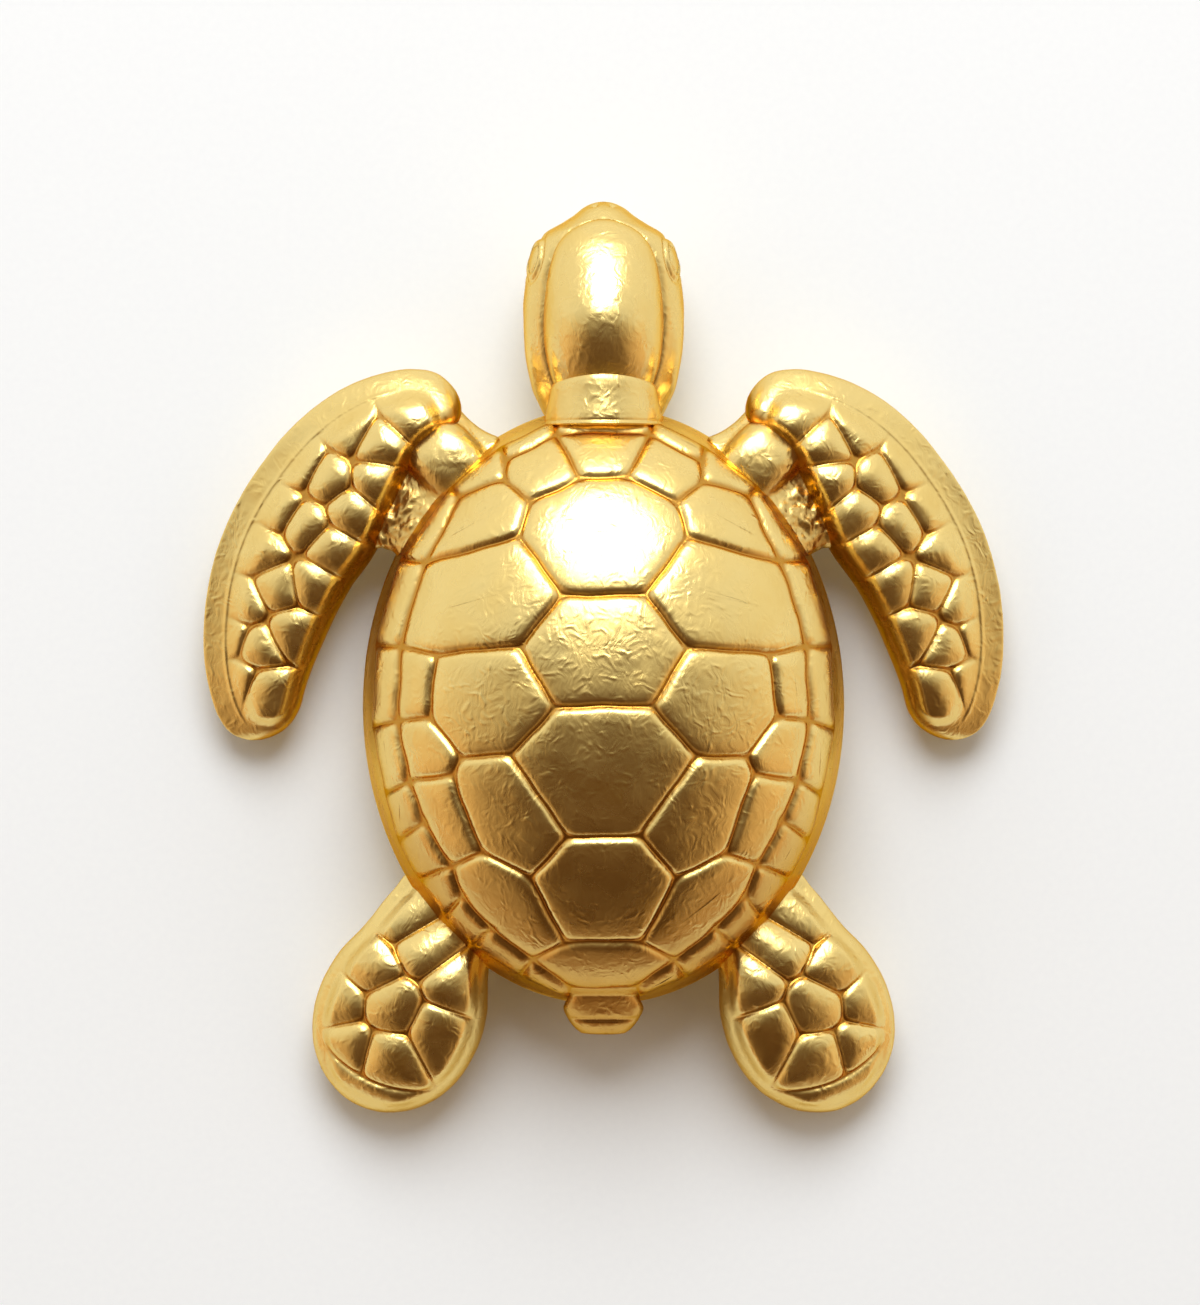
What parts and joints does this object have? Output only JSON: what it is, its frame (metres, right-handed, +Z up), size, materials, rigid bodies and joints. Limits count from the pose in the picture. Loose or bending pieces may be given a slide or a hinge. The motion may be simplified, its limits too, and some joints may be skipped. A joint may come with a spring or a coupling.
{
  "type": "turtle figurine",
  "caption": "Gilded cast sea turtle ornament with a domed, carved shell, spread flippers, a blunt head and a flat belly that it stands on.",
  "frame": {"origin": "on the ground, below the middle of the figure's bounding box", "axes": "+Y runs from the hind flippers to the head, +X to the turtle's right, +Z up from the belly to the top of the shell"},
  "size_m": [0.088, 0.1, 0.0285],
  "materials": {
    "gilding": "satin polish over leaf gilding, finely wrinkled",
    "screw_steel": "plain machined"
  },
  "bodies": {
    "root": {"carapace": "gilding", "plastron": "gilding", "neck_collar": "gilding", "head": "gilding", "front_left_shoulder": "gilding", "front_right_shoulder": "gilding", "front_left_flipper": "gilding", "front_right_flipper": "gilding", "hind_left_flipper": "gilding", "hind_right_flipper": "gilding", "tail": "gilding", "plastron_screws": "screw_steel"}
  },
  "joints": []
}
